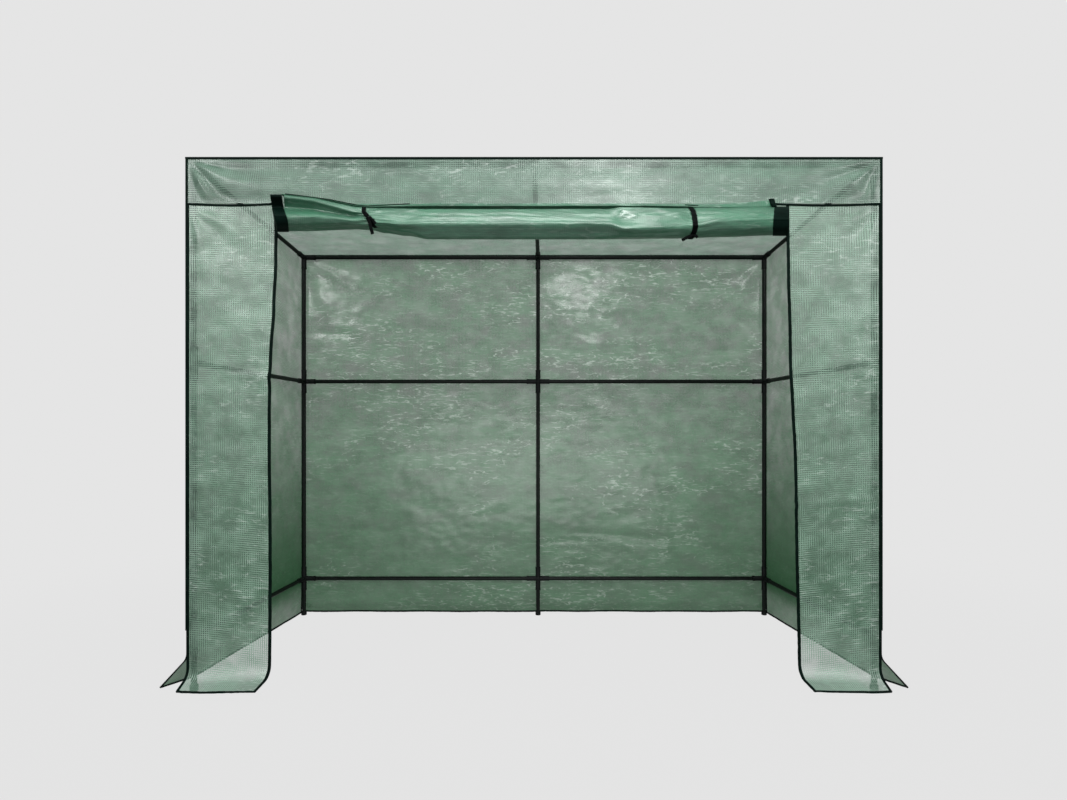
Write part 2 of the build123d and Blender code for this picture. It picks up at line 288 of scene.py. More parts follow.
def weave_group():
    """The woven film's pattern: its strong threads, its patches, its creases and its relief."""
    group = bpy.data.node_groups.new("woven_film", "ShaderNodeTree")
    sockets = group.interface
    sockets.new_socket(name="Cloth", in_out="INPUT", socket_type="NodeSocketVector")
    for name, usual in (("Pitch", WEAVE_PITCH), ("Thread Share", THREAD_SHARE), ("Seed", 0.0)):
        socket = sockets.new_socket(name=name, in_out="INPUT", socket_type="NodeSocketFloat")
        socket.default_value = usual
    for name in ("Threads", "Patches", "Creases", "Relief"):
        sockets.new_socket(name=name, in_out="OUTPUT", socket_type="NodeSocketFloat")
    net = ShaderTree(group)
    entry = group.nodes.new("NodeGroupInput")
    leave = group.nodes.new("NodeGroupOutput")

    def give(value, name):
        net.feed(value, leave.inputs[name])

    parts = net.node("SeparateXYZ", Vector=entry.outputs["Cloth"])
    half_pitch = net.times(entry.outputs["Pitch"], 0.5)
    lines = []
    for axis in range(2):
        fold = net.maths("PINGPONG", parts.outputs[axis], half_pitch)
        near = net.maths("DIVIDE", fold, half_pitch)
        lines.append(net.maths("LESS_THAN", near, entry.outputs["Thread Share"]))

    seed_place = net.node("CombineXYZ", Z=entry.outputs["Seed"])
    shifted = net.node("VectorMath")
    shifted.operation = "ADD"
    net.feed(entry.outputs["Cloth"], shifted.inputs[0])
    net.feed(seed_place.outputs[0], shifted.inputs[1])
    cloth = shifted.outputs[0]

    upright_places = net.ranged(net.noise(cloth, 14, 2, 0.6), 0.38, 0.62, 0.2, 1)
    level_noise = net.noise(net.mapped(cloth, (1, 1, 1), (3, 5, 7)), 11, 2, 0.6)
    level_places = net.ranged(level_noise, 0.38, 0.62, 0.2, 1)
    threads = net.maths("MAXIMUM", net.times(lines[0], upright_places), net.times(lines[1], level_places))
    give(threads, "Threads")
    patches = net.noise(net.mapped(cloth, (1, 2.2, 1), (9, 2, 4)), 7, 4, 0.66)
    give(patches, "Patches")
    creases = add_creases(net, cloth, patches)
    give(creases, "Creases")
    crumple_noise = net.noise(net.mapped(cloth, (1, 1.7, 1), (2, 2, 9)), 21, 3, 0.62)
    fine_relief = net.maths("ADD", net.times(threads, 0.045), net.times(creases, 0.16))
    give(net.maths("ADD", net.times(crumple_noise, 0.8), fine_relief), "Relief")
    return group


WEAVE = weave_group()
RELIEF_DEPTH = 0.006

# The height below which painted shade darkens the film's colour towards the ground, the shade that it
# takes, and the heights between which a skirt takes less of it
PAINTED_SHADE_TOP = 1.3
PAINTED_SHADE_TINT = (0.27, 0.45, 0.31)
SKIRT_FROM, SKIRT_TO = 0.05, 0.15


def film_material(
    name, colour, see_through, seed, rough=0.34, shine=0.9, coat=0.6, coat_rough=0.32, relief=0.6,
    contrast=0.4, thread_light=0.5, crease_highlight=0.5, through_light=0.4, shadow_clear=0.42, closing=1.5,
    painted_shade=0.0, skirt_painted_shade=1.0,
):
    """Green woven film: its gloss and colour, the light it lets through, and cells that are seen through.

    closing is how fast the cells close when the film is seen aslant. The last two arguments give painted
    shade: how much it darkens the colour towards the ground, and how much of that is left on the skirt.
    """
    material = bpy.data.materials.new(name)
    net = emptied_tree(material)
    uv = net.node("UVMap")
    uv.uv_map = "UVMap"
    weave = net.node("Group")
    weave.node_tree = WEAVE
    weave.inputs["Pitch"].default_value = WEAVE_PITCH
    weave.inputs["Thread Share"].default_value = THREAD_SHARE
    weave.inputs["Seed"].default_value = seed
    net.feed(uv.outputs[0], weave.inputs["Cloth"])
    threads, patches = weave.outputs["Threads"], weave.outputs["Patches"]

    plain = solid_colour(colour)
    deep = solid_colour(c * (1 - contrast) for c in colour)
    thread_colour = solid_colour(c * 1.3 + 0.12 for c in colour)
    # The creases are painted pale, as painted highlights of the crinkled film
    crease_highlight_colour = solid_colour(c * 0.8 + 0.5 for c in colour)
    tone = net.mixed(net.ranged(patches, 0.36, 0.64, 0, 1), deep, plain)
    threaded = net.mixed(net.times(threads, thread_light), tone, thread_colour)
    crease = net.times(weave.outputs["Creases"], crease_highlight)
    shown = net.mixed(crease, threaded, crease_highlight_colour)
    # Painted shade: the colour darkens towards the ground, less so on the skirt, and the film lets less
    # through there
    if painted_shade:
        place = net.node("TexCoord")
        height = net.node("SeparateXYZ", Vector=place.outputs["Object"]).outputs["Z"]
        foot = net.ranged(height, SKIRT_FROM, SKIRT_TO, skirt_painted_shade, 1)
        low = net.times(net.ranged(height, 0, PAINTED_SHADE_TOP, painted_shade, 0), foot)
        shown = net.mixed(low, shown, solid_colour(c * shade for c, shade in zip(colour, PAINTED_SHADE_TINT)))
        see_through = net.maths("SUBTRACT", see_through, net.times(low, see_through * 1.2))

    bump = net.node("Bump", Strength=relief, Distance=RELIEF_DEPTH, Height=weave.outputs["Relief"])
    normal = bump.outputs[0]
    gloss = net.node(
        "BsdfPrincipled", Base_Color=shown, Specular_IOR_Level=shine, Coat_Weight=coat,
        Coat_Roughness=coat_rough, Normal=normal,
        Roughness=net.ranged(patches, 0.3, 0.7, rough + 0.22, rough + 0.06),
    )
    glow = net.node("BsdfTranslucent", Color=shown, Normal=normal)
    body = net.blended(through_light, gloss, glow)

    slant = net.node("LayerWeight", Blend=0.5)
    facing = net.maths("SUBTRACT", 1, slant.outputs["Facing"])
    openness = net.maths("POWER", facing, closing)
    cell = net.maths("SUBTRACT", 1.75, net.times(threads, 1.65))
    uncreased = net.maths("SUBTRACT", cell, net.times(crease, 0.8))
    clearness = net.maths("MULTIPLY", net.times(uncreased, see_through), openness, clamp=True)
    path = net.node("LightPath")
    lit_through = net.times(path.outputs["Is Shadow Ray"], shadow_clear)
    cover = net.blended(net.maths("MAXIMUM", clearness, lit_through), body, net.node("BsdfTransparent"))
    net.node("OutputMaterial", Surface=cover.outputs[0])
    return material


def solid_material(name, colour, rough, grain, grain_depth, shine):
    """A plain dark finish with fine grain, slight tone changes and uneven gloss."""
    vary = 0.25
    material = bpy.data.materials.new(name)
    net = emptied_tree(material)
    place = net.node("TexCoord").outputs["Object"]
    broad = net.noise(place, 18, 5, 0.6)
    fine = net.noise(place, grain, 4, 0.6)
    dark = solid_colour(c * (1 - vary) for c in colour)
    bright = solid_colour(c * (1 + vary) for c in colour)
    shader = net.node(
        "BsdfPrincipled", Base_Color=net.mixed(net.ranged(broad, 0.35, 0.65, 0, 1), dark, bright),
        Roughness=net.ranged(fine, 0.3, 0.7, rough - 0.08, rough + 0.1), Specular_IOR_Level=shine,
        Normal=net.node("Bump", Strength=0.5, Distance=grain_depth, Height=fine).outputs[0],
    )
    net.node("OutputMaterial", Surface=shader.outputs[0])
    return material


# Finishes
FILM_GREEN = (0.091, 0.200, 0.131)
# The valance's green is a darker copy of the film's: painted shade against the stronger light on it
VALANCE_SHADED_GREEN = (0.073, 0.154, 0.105)
BACK_GREEN = (0.074, 0.186, 0.100)
ROLL_GREEN = (0.024, 0.110, 0.060)
front_film = film_material(
    "front_film", FILM_GREEN, 0.38, 1.0, crease_highlight=0.5, coat=1.0, coat_rough=0.4, thread_light=0.65,
    relief=0.38, contrast=0.3,
)
valance_film = film_material(
    "valance_film", VALANCE_SHADED_GREEN, 0.27, 5.0, crease_highlight=0.45, shine=0.7, coat=0.45, coat_rough=0.33,
    relief=0.45,
)
# The side and back films are darkened towards the ground by painted shade
side_film = film_material(
    "side_film", BACK_GREEN, 0.40, 9.0, painted_shade=0.85, skirt_painted_shade=0.55, shine=0.2, coat=0.3, shadow_clear=0.6,
    closing=0.9, crease_highlight=0.3,
)
back_film = film_material(
    "back_film", BACK_GREEN, 0.14, 14.0, crease_highlight=0.9, painted_shade=0.58, contrast=0.55, shine=0.25, coat=0.7,
    coat_rough=0.2, relief=0.5,
)
roof_film = film_material("roof_film", FILM_GREEN, 0.33, 21.0, contrast=0.5, crease_highlight=0.3, closing=0.6)
roll_film = film_material(
    "roll_film", ROLL_GREEN, 0.0, 33.0, crease_highlight=0.2, rough=0.28, through_light=0.06, shadow_clear=0.0,
    contrast=0.35, shine=0.3, coat=0.6, coat_rough=0.28, thread_light=0.16,
)
binding_tape = solid_material("binding_tape", (0.001, 0.0045, 0.0032), 0.5, 900, 0.0004, 0.02)
ribbon_cloth = solid_material("ribbon_cloth", (0.001, 0.0015, 0.0015), 0.55, 1200, 0.0004, 0.02)
tube_paint = solid_material("tube_paint", (0.002, 0.004, 0.003), 0.34, 220, 0.00008, 0.1)
joint_plastic = solid_material("joint_plastic", (0.003, 0.004, 0.004), 0.5, 500, 0.0001, 0.1)

PIPING_NODES = ("front_top_piping", "back_top_piping", "side_top_piping", "corner_piping")
for name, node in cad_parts.items():
    if name.endswith(("_post", "_rail", "_rafter")):
        finish = tube_paint
    elif name.endswith("_joints") or name == "post_feet":
        finish = joint_plastic
    elif name in PIPING_NODES:
        finish = binding_tape
    else:
        continue
    node.data.materials.clear()
    node.data.materials.append(finish)


# Sizes of the film's wrinkles, folds and puckers, in metres
BILLOW, FACET, WRINKLE = 0.0045, 0.0016, 0.0008
FAN_DEPTH, FAN_REACH = 0.0035, 0.3
PLEAT_DEPTH, PLEAT_HALF_WIDTH, PLEAT_WANDER = 0.004, 0.011, 0.012
PUCKER = 0.0006


# Shape of the hanging film

def hem_bend(fold, reach, hem):
    """How far a sheet turns to sweep out to its hem, how far the bend reaches, and the slope after it."""
    turn = math.atan2(reach, fold - hem)
    tangent = HEM_ROUND * math.tan(turn / 2)
    return turn, tangent, math.hypot(reach, fold - hem) - tangent


def hang(top, fold, reach, hem, share):
    """A point on a sheet that hangs straight and sweeps out to its hem: reach out, height, turn."""
    turn, tangent, slope = hem_bend(fold, reach, hem)
    straight = top - fold - tangent
    bend = HEM_ROUND * turn
    run = share * (straight + bend + slope)
    if run <= straight:
        return 0.0, top - run, 0.0
    if run <= straight + bend:
        angle = (run - straight) / HEM_ROUND
        return HEM_ROUND * (1 - math.cos(angle)), fold + tangent - HEM_ROUND * math.sin(angle), angle
    rest = run - straight - bend
    out = HEM_ROUND * (1 - math.cos(turn)) + rest * math.sin(turn)
    height = fold + tangent - HEM_ROUND * math.sin(turn) - rest * math.cos(turn)
    return out, height, turn


def hang_length(top, fold, reach, hem):
    """The length of a hanging sheet along its own curve."""
    turn, tangent, slope = hem_bend(fold, reach, hem)
    return top - fold - tangent + HEM_ROUND * turn + slope


def crumple(across, up, seed):
    """Small facets and soft billows of loose film, in metres outwards."""
    billow = noise.noise(Vector((across * 2.1, up * 3.1, seed)))
    facets = noise.noise(Vector((across * 9, up * 17, seed + 3)))
    small = noise.noise(Vector((across * 26 + up * 9, up * 44 - across * 5, seed + 7)))
    return BILLOW * billow + FACET * facets + WRINKLE * small


def corner_fan(across, up, corner_across, corner_up, seed, folds, reach=FAN_REACH):
    """Tension folds that fan out from a corner, in metres outwards."""
    away_across, away_up = across - corner_across, up - corner_up
    distance = math.hypot(away_across, away_up)
    angle = math.atan2(away_up, away_across)
    ridge = math.sin(angle * folds + 2.0 * noise.noise(Vector((angle * 1.5, distance * 4, seed))))
    return FAN_DEPTH * ridge * smooth(0.0, 0.05, distance) * math.exp(-distance / reach)


def long_pleat(across, up, level, slope):
    """A shallow pleat that runs nearly level across a sheet and comes and goes, in metres outwards."""
    line = level + slope * across + PLEAT_WANDER * noise.noise(Vector((across * 3, level * 9, 5)))
    strength = smooth(-0.1, 0.3, noise.noise(Vector((across * 2.2, level * 7, 2))))
    return PLEAT_DEPTH * strength * math.exp(-((up - line) / PLEAT_HALF_WIDTH) ** 2)


def edge_hold(share, width):
    """0 at both edges of a sheet and 1 away from them."""
    return smooth(0, width, share) * smooth(0, width, 1 - share)


# How far inwards the film may billow, in metres: on the front, and how much further away from its
# corners; on the other walls, and how much further between the back's rails; on the roof between its
# rafters, and everywhere on it
FRONT_ROOM, FREE_ROOM = 0.004, 0.010
WALL_ROOM, BETWEEN_RAILS_ROOM = 0.0035, 0.008
ROOF_ROOM, EDGE_ROOM = 0.0105, 0.0002


# Front panels: each door edge is listed as (height, x), and each long pleat as (height, slope)
FOLD_FRONT = 0.048
OUTER_REACH, OUTER_HEM = 0.048, 0.024
DOOR_REACH, DOOR_HEM = 0.088, 0.038
DOOR_SWAY, HEM_SAG = 0.0022, 0.0016
PANEL_PLEATS = ((0.85, 0.06), (0.50, 0.05))
LEFT_DOOR_EDGE = [
    (0.0, -0.7500), (0.880, -0.7500), (0.95, -0.7478), (1.10, -0.7400), (1.225, -0.7345), (1.40, -0.7345),
]
RIGHT_DOOR_EDGE = [
    (0.0, 0.7540), (0.094, 0.7535), (0.60, 0.7420), (1.0, 0.7285), (1.29, 0.7195), (1.40, 0.7190),
]


def panel_surface(sign, edge, seed):
    """A front panel's surface: u runs from the corner to the door edge, v from the seam to the hem."""
    corner_x = sign * INSET_X

    def place(u, v):
        reach = OUTER_REACH + (DOOR_REACH - OUTER_REACH) * u
        hem = OUTER_HEM + (DOOR_HEM - OUTER_HEM) * u
        out, height, turn = hang(SEAM_BOTTOM, FOLD_FRONT, reach, hem, v)
        x = corner_x + (read_stations(edge, height, smooth) - corner_x) * u
        slack = crumple(x, height, seed) + corner_fan(x, height, corner_x, SEAM_BOTTOM, seed, 9)
        slack += sum(long_pleat(x, height, level, slope * sign) for level, slope in PANEL_PLEATS)
        free_edge = smooth(0.55, 1.0, u) * smooth(0, 0.06, v) * (1 - smooth(0.9, 1, v))
        sway = DOOR_SWAY * free_edge * math.sin(height * 7.3 + seed)
        offset = slack * smooth(0, 0.12, u) * smooth(0, 0.03, v) + sway
        offset = max(offset, -FRONT_ROOM - FREE_ROOM * smooth(0.1, 0.25, u))
        hem_sag = HEM_SAG * math.sin(u * math.pi * 1.4) * smooth(0.93, 1, v)
        return Vector((
            x,
            FRONT_Y + FILM_HALF - out - offset * math.cos(turn),
            height + offset * math.sin(turn) - hem_sag,
        ))

    return place


left_panel = panel_surface(-1, LEFT_DOOR_EDGE, 2.0)
right_panel = panel_surface(1, RIGHT_DOOR_EDGE, 4.0)
panel_length = hang_length(SEAM_BOTTOM, FOLD_FRONT, DOOR_REACH, DOOR_HEM)
for side, edge, place in (
    ("left", LEFT_DOOR_EDGE, flipped(left_panel)),
    ("right", RIGHT_DOOR_EDGE, right_panel),
):
    flat = (INSET_X - abs(edge[0][1]), panel_length)
    panel = cloth_piece(f"front_{side}_film", 34, 190, flat, place, front_film)
    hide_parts(f"front_{side}_panel")


# Valance
VALANCE_BELLY = 0.004
VALANCE_FANS = ((-INSET_X, 11), (INSET_X, 12))


def valance_point(u, v):
    x = -INSET_X + SHEET_WIDTH * u
    height = SEAM_TOP + (valance_high.z - SEAM_TOP) * (1 - v)
    hold = edge_hold(v, 0.25) * edge_hold(u, 0.02)
    fan = sum(corner_fan(x, height, corner_x, valance_high.z, seed, 10) for corner_x, seed in VALANCE_FANS)
    offset = (crumple(x, height, 10) + VALANCE_BELLY * edge_hold(v, 0.5) + 2.0 * fan) * hold
    return Vector((x, FRONT_Y + FILM_HALF - max(offset, -FRONT_ROOM), height))


valance_flat = (SHEET_WIDTH, valance_high.z - SEAM_TOP)
valance = cloth_piece("valance_film_sheet", 260, 22, valance_flat, valance_point, valance_film)
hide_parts("front_valance")


# Roof
ROOF_RISE = roof_high.z - roof_low.z - 2 * FILM_HALF
ROOF_SAG = 0.011


def roof_point(u, v):
    x = -INSET_X + SHEET_WIDTH * u
    y = INSET_FRONT + SHEET_DEPTH * v
    bays = abs(math.sin(math.pi * u * 2))
    fan = sum(
        corner_fan(x, y, corner_x, corner_y, 15, 7)
        for corner_x in (-INSET_X, INSET_X) for corner_y in (INSET_FRONT, INSET_BACK)
    )
    slack = (crumple(x, y, 16) + fan) * edge_hold(u, 0.04) * edge_hold(v, 0.1)
    offset = slack - ROOF_SAG * edge_hold(v, 0.45) * bays
    offset = max(offset, -ROOF_ROOM * edge_hold(u, 0.05) * bays - EDGE_ROOM)
    return Vector((x, y, roof_low.z + FILM_HALF + ROOF_RISE * v + offset))


roof = cloth_piece("roof_film_sheet", 200, 80, (SHEET_WIDTH, SHEET_DEPTH), roof_point, roof_film)
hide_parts("roof_sheet")


# Back wall: the heights of its rails are those of the frame
FOLD_BACK, BACK_REACH, BACK_HEM = 0.045, 0.015, 0.008
LOWER_RAIL, MIDDLE_RAIL = 0.155, 0.992
HEM_RIPPLE = 0.003
BACK_FANS = ((-INSET_X, 18), (INSET_X, 19))
BACK_PLEATS = ((0.30, 0.03), (0.345, -0.02), (0.83, 0.05), (1.16, -0.04))


def back_point(u, v):
    x = INSET_X - SHEET_WIDTH * u
    top = back_high.z
    out, height, turn = hang(top, FOLD_BACK, BACK_REACH, BACK_HEM, v)
    off_rails = smooth(0, 0.1, abs(height - LOWER_RAIL)) * smooth(0, 0.1, abs(height - MIDDLE_RAIL))
    fan = sum(corner_fan(x, height, corner_x, top, seed, 8, 0.35) for corner_x, seed in BACK_FANS)
    pleats = sum(long_pleat(x, height, level, slope) for level, slope in BACK_PLEATS)
    offset = (crumple(x, height, 17) * 1.4 + fan + pleats) * edge_hold(u, 0.04) * smooth(0, 0.05, v)
    offset = max(offset, -WALL_ROOM - BETWEEN_RAILS_ROOM * off_rails)
    ripple = HEM_RIPPLE * math.sin(x * 23) * smooth(0.96, 1, v)
    return Vector((x, BACK_Y - FILM_HALF + out + (offset + ripple) * math.cos(turn), height))


back_flat = (SHEET_WIDTH, hang_length(back_high.z, FOLD_BACK, BACK_REACH, BACK_HEM))
back = cloth_piece("back_film_sheet", 200, 160, back_flat, back_point, back_film)
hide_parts("back_wall")


# Side walls: the skirts' reach and hem height are listed by the distance behind the front
FOLD_SIDE = 0.097
SIDE_REACH, SIDE_HEM = 0.038, 0.008
SIDE_FLARE = 0.095
SIDE_REACHES = [(0.0, 0.076), (SIDE_FLARE, SIDE_REACH), (SHEET_DEPTH, 0.002)]
SIDE_HEMS = [(0.0, 0.014), (SIDE_FLARE, SIDE_HEM)]


def side_surface(sign, seed):
    """A side wall's surface: u runs from the front to the back, v from the top to the hem."""
    def place(u, v):
        y = INSET_FRONT + SHEET_DEPTH * u
        top = side_high.z - ROOF_RISE * (INSET_BACK - y) / SHEET_DEPTH
        reach = read_stations(SIDE_REACHES, y - INSET_FRONT)
        hem = read_stations(SIDE_HEMS, y - INSET_FRONT)
        out, height, turn = hang(top, FOLD_SIDE, reach, hem, v)
        fan = corner_fan(y, height, INSET_FRONT, top, seed, 8)
        fan += corner_fan(y, height, INSET_BACK, top, seed + 1, 8)
        offset = (crumple(y, height, seed) + fan) * edge_hold(u, 0.1) * smooth(0, 0.05, v)
        offset = max(offset, -WALL_ROOM)
        return Vector((
            sign * (SIDE_X - FILM_HALF + out + offset * math.cos(turn)),
            y,
            height + offset * math.sin(turn),
        ))

    return place


left_side = side_surface(-1, 24.0)
right_side = side_surface(1, 27.0)
side_flat = (SHEET_DEPTH, hang_length(side_high.z, FOLD_SIDE, SIDE_REACH, SIDE_HEM))
for side, place in (("left", left_side), ("right", flipped(right_side))):
    wall = cloth_piece(f"{side}_film_sheet", 80, 160, side_flat, place, side_film)
    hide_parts(f"{side}_wall")


# Bindings along the cloth's edges
def edge_path(surface, start, end, outward):
    """A band's path along a sheet's edge from one (u, v) to another; outward points off the sheet."""
    start, end, outward = Vector(start), Vector(end), Vector(outward)
    step, inwards = 0.004, 0.02

    def path(t):
        middle = surface(*start.lerp(end, t))
        before = surface(*start.lerp(end, max(0.0, t - step)))
        after = surface(*start.lerp(end, min(1.0, t + step)))
        along = (after - before).normalized()
        inner = surface(*(start.lerp(end, t) - outward * inwards)) - middle
        across = (inner - along * inner.dot(along)).normalized()
        return middle, across, along.cross(across)

    return path


DOOR_TAPE_PLACE = 0.985
for side, surface, seed in (("left", left_panel, 2.0), ("right", right_panel, 4.0)):
    tape = bmesh.new()
    tape_path = edge_path(surface, (DOOR_TAPE_PLACE, 0.0), (DOOR_TAPE_PLACE, 1.0), (1, 0))
    add_band(tape, tape_path, DOOR_TAPE, 240, pucker=PUCKER, seed=seed)
    door_tape = finish_closed(f"{side}_door_binding", tape, binding_tape)
    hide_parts(f"{side}_door_tape")

# Where the slits at the front and back of the side skirts start, as a share of the way down to the hem
FRONT_SLIT, BACK_SLIT = 0.86, 0.9
hems = bmesh.new()
for surface in (left_panel, right_panel):
    add_band(hems, edge_path(surface, (0.0, 1.0), (1.0, 1.0), (0, 1)), HEM_BINDING, 60, pucker=PUCKER)
    add_band(hems, edge_path(surface, (0.0, 0.0), (0.0, 1.0), (-1, 0)), HEM_BINDING, 220, pucker=0.0004)
for surface in (left_side, right_side):
    add_band(hems, edge_path(surface, (0.0, 1.0), (1.0, 1.0), (0, 1)), HEM_BINDING, 110, pucker=PUCKER)
    add_band(hems, edge_path(surface, (0.0, FRONT_SLIT), (0.0, 1.0), (-1, 0)), HEM_BINDING, 40)
    add_band(hems, edge_path(surface, (1.0, BACK_SLIT), (1.0, 1.0), (1, 0)), HEM_BINDING, 40)
add_band(hems, edge_path(back_point, (0.0, 1.0), (1.0, 1.0), (0, 1)), HEM_BINDING, 240, pucker=PUCKER)
hem_piece = finish_closed("skirt_bindings", hems, binding_tape)
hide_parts("hem_bindings")

SEAM_LEFT_END, SEAM_RIGHT_START = -0.735, 0.672
SEAM_SAG, SEAM_PROUD = 0.004, 0.0006


def seam_path(first_x, last_x):
    """The path of the seam's binding between two places on the front, with a slight sag."""
    def path(t):
        sag = SEAM_SAG * math.sin(math.pi * t)
        middle = Vector((first_x + (last_x - first_x) * t, FRONT_Y - SEAM_PROUD, SEAM_Z - sag))
        return middle, Vector((0, 0, 1)), Vector((0, 1, 0))

    return path


seams = bmesh.new()
add_band(seams, seam_path(-INSET_X, SEAM_LEFT_END), SEAM_BINDING, 70, pucker=PUCKER)
add_band(seams, seam_path(SEAM_RIGHT_START, INSET_X), SEAM_BINDING, 70, pucker=PUCKER)
seam_piece = finish_closed("seam_binding", seams, binding_tape)
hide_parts("seam_piping")


# Rolled door
ROLL_BACK = roll_high.y
ROLL_LEFT, ROLL_RIGHT = -0.694, 0.672
ROLL_GIRTH = 0.25
LEFT_TIE, RIGHT_TIE = -0.458, 0.444
SECTION_MIDDLE = 0.035
CAP_LEAN, LEAN_FROM = 0.42, 0.04

# The roll's section at places along it: how far out from its back and how high each point lies.
# The points go round from the front crease over the top, down the back and along the underside.
MIDDLE = [
    (0.072, 1.3058), (0.066, 1.3179), (0.058, 1.3309), (0.047, 1.3455), (0.034, 1.3596), (0.020, 1.3700),
    (0.006, 1.3710), (0.001, 1.3520), (0.001, 1.3100), (0.008, 1.2910), (0.030, 1.2831), (0.052, 1.2923),
]
ROLL_SECTIONS = [
    (-0.700, [
        (0.068, 1.3280), (0.058, 1.3419), (0.024, 1.3701), (0.034, 1.3823), (0.052, 1.3890), (0.040, 1.4000),
        (0.012, 1.4020), (0.001, 1.3900), (0.001, 1.3250), (0.008, 1.3120), (0.030, 1.3120), (0.058, 1.3144),
    ]),
    (-0.610, [
        (0.068, 1.3271), (0.060, 1.3396), (0.026, 1.3641), (0.034, 1.3726), (0.050, 1.3790), (0.036, 1.3935),
        (0.012, 1.3970), (0.001, 1.3850), (0.001, 1.3250), (0.008, 1.3130), (0.030, 1.3135), (0.056, 1.3165),
    ]),
    (-0.500, [
        (0.062, 1.3197), (0.057, 1.3277), (0.040, 1.3408), (0.047, 1.3437), (0.054, 1.3497), (0.030, 1.3711),
        (0.010, 1.3720), (0.001, 1.3600), (0.001, 1.3280), (0.010, 1.3170), (0.030, 1.3160), (0.052, 1.3143),
    ]),
    (LEFT_TIE, [
        (0.058, 1.3229), (0.057, 1.3289), (0.054, 1.3356), (0.052, 1.3418), (0.046, 1.3514), (0.028, 1.3679),
        (0.010, 1.3690), (0.002, 1.3550), (0.002, 1.3250), (0.010, 1.3140), (0.030, 1.3140), (0.050, 1.3152),
    ]),
    (-0.420, [
        (0.066, 1.3111), (0.062, 1.3183), (0.058, 1.3284), (0.050, 1.3428), (0.038, 1.3577), (0.022, 1.3718),
        (0.008, 1.3720), (0.001, 1.3550), (0.001, 1.3200), (0.010, 1.3060), (0.030, 1.3080), (0.050, 1.3083),
    ]),
    (-0.360, [
        (0.071, 1.3050), (0.066, 1.3138), (0.060, 1.3247), (0.050, 1.3400), (0.034, 1.3610), (0.020, 1.3714),
        (0.006, 1.3720), (0.001, 1.3540), (0.001, 1.3150), (0.008, 1.2990), (0.030, 1.2971), (0.052, 1.2992),
    ]),
    (-0.295, MIDDLE),
    (0.200, MIDDLE),
    (0.250, [
        (0.075, 1.2935), (0.061, 1.3140), (0.052, 1.3290), (0.052, 1.3440), (0.049, 1.3590), (0.032, 1.3690),
        (0.006, 1.3710), (0.001, 1.3520), (0.001, 1.3100), (0.008, 1.2910), (0.030, 1.2845), (0.054, 1.2870),
    ]),
    (0.340, [
        (0.072, 1.2960), (0.068, 1.3120), (0.061, 1.3310), (0.048, 1.3470), (0.046, 1.3590), (0.027, 1.3700),
        (0.006, 1.3710), (0.001, 1.3520), (0.001, 1.3100), (0.008, 1.2920), (0.030, 1.2859), (0.052, 1.2890),
    ]),
    (0.395, [
        (0.069, 1.3000), (0.066, 1.3120), (0.063, 1.3280), (0.058, 1.3440), (0.040, 1.3580), (0.024, 1.3710),
        (0.006, 1.3715), (0.001, 1.3530), (0.001, 1.3110), (0.008, 1.2925), (0.030, 1.2870), (0.052, 1.2905),
    ]),
    (0.430, [
        (0.068, 1.3021), (0.066, 1.3098), (0.062, 1.3224), (0.054, 1.3384), (0.044, 1.3537), (0.022, 1.3718),
        (0.006, 1.3720), (0.001, 1.3530), (0.001, 1.3120), (0.008, 1.2930), (0.030, 1.2879), (0.052, 1.2923),
    ]),
    (0.520, [
        (0.070, 1.3149), (0.068, 1.3225), (0.064, 1.3311), (0.056, 1.3430), (0.042, 1.3588), (0.022, 1.3718),
        (0.006, 1.3730), (0.001, 1.3550), (0.001, 1.3140), (0.008, 1.2960), (0.030, 1.2929), (0.056, 1.2990),
    ]),
    (0.670, [
        (0.063, 1.3207), (0.061, 1.3285), (0.058, 1.3366), (0.052, 1.3476), (0.040, 1.3611), (0.022, 1.3746),
        (0.006, 1.3760), (0.001, 1.3580), (0.001, 1.3180), (0.008, 1.3010), (0.030, 1.2993), (0.052, 1.3047),
    ]),
]

# Where these points of a section stand in its round
TOP, TOP_BACK, UNDERSIDE = 5, 6, 10


def roll_section(x):
    """The roll's section points at a place along it: straight up to the left tie, eased after it."""
    if x <= ROLL_SECTIONS[0][0]:
        return ROLL_SECTIONS[0][1]
    for (start, first), (end, second) in zip(ROLL_SECTIONS, ROLL_SECTIONS[1:]):
        if x <= end:
            share = smooth(start, end, x) if x > LEFT_TIE else even(start, end, x)
            return [(a + (c - a) * share, b + (d - b) * share) for (a, b), (c, d) in zip(first, second)]
    return ROLL_SECTIONS[-1][1]


def section_middle(points):
    return (points[TOP][1] + points[UNDERSIDE][1]) / 2


def curve_value(a, b, c, d, t):
    """An even curve from b to c, with a before and d after."""
    return b + 0.5 * t * (c - a + t * (2 * a - 5 * b + 4 * c - d + t * (3 * (b - c) + d - a)))


ROLL_STREAK, ROLL_TWIST, ROLL_CREASE, ROLL_PLEAT = 0.0014, 0.0012, 0.0006, 0.0016


def tie_squeeze(x):
    """How strongly the ties gather the roll at a place along it."""
    left = math.exp(-((x - LEFT_TIE) / 0.05) ** 2)
    right = math.exp(-((x - RIGHT_TIE - 0.008) / 0.045) ** 2)
    return left + 0.7 * right


def roll_bumps(x, turn):
    """Streaks, twists and pleats round the roll, in metres outwards. The pleats gather at the ties."""
    swing, rise = math.cos(turn * math.tau), math.sin(turn * math.tau)
    streak = noise.noise(Vector((x * 3.2, swing * 2.4, rise * 2.4 + 0.6 * math.sin(x * 5))))
    twist = noise.noise(Vector((x * 11, swing * 3.5 - x * 16, rise * 3.5)))
    small = noise.noise(Vector((x * 38, swing * 9 + x * 20, rise * 9)))
    pleat = math.sin(turn * math.tau * 10 + 3 * noise.noise(Vector((x * 9, 1, 2))))
    gathers = ROLL_PLEAT * pleat * tie_squeeze(x)
    return ROLL_STREAK * streak + ROLL_TWIST * twist + ROLL_CREASE * small + gathers


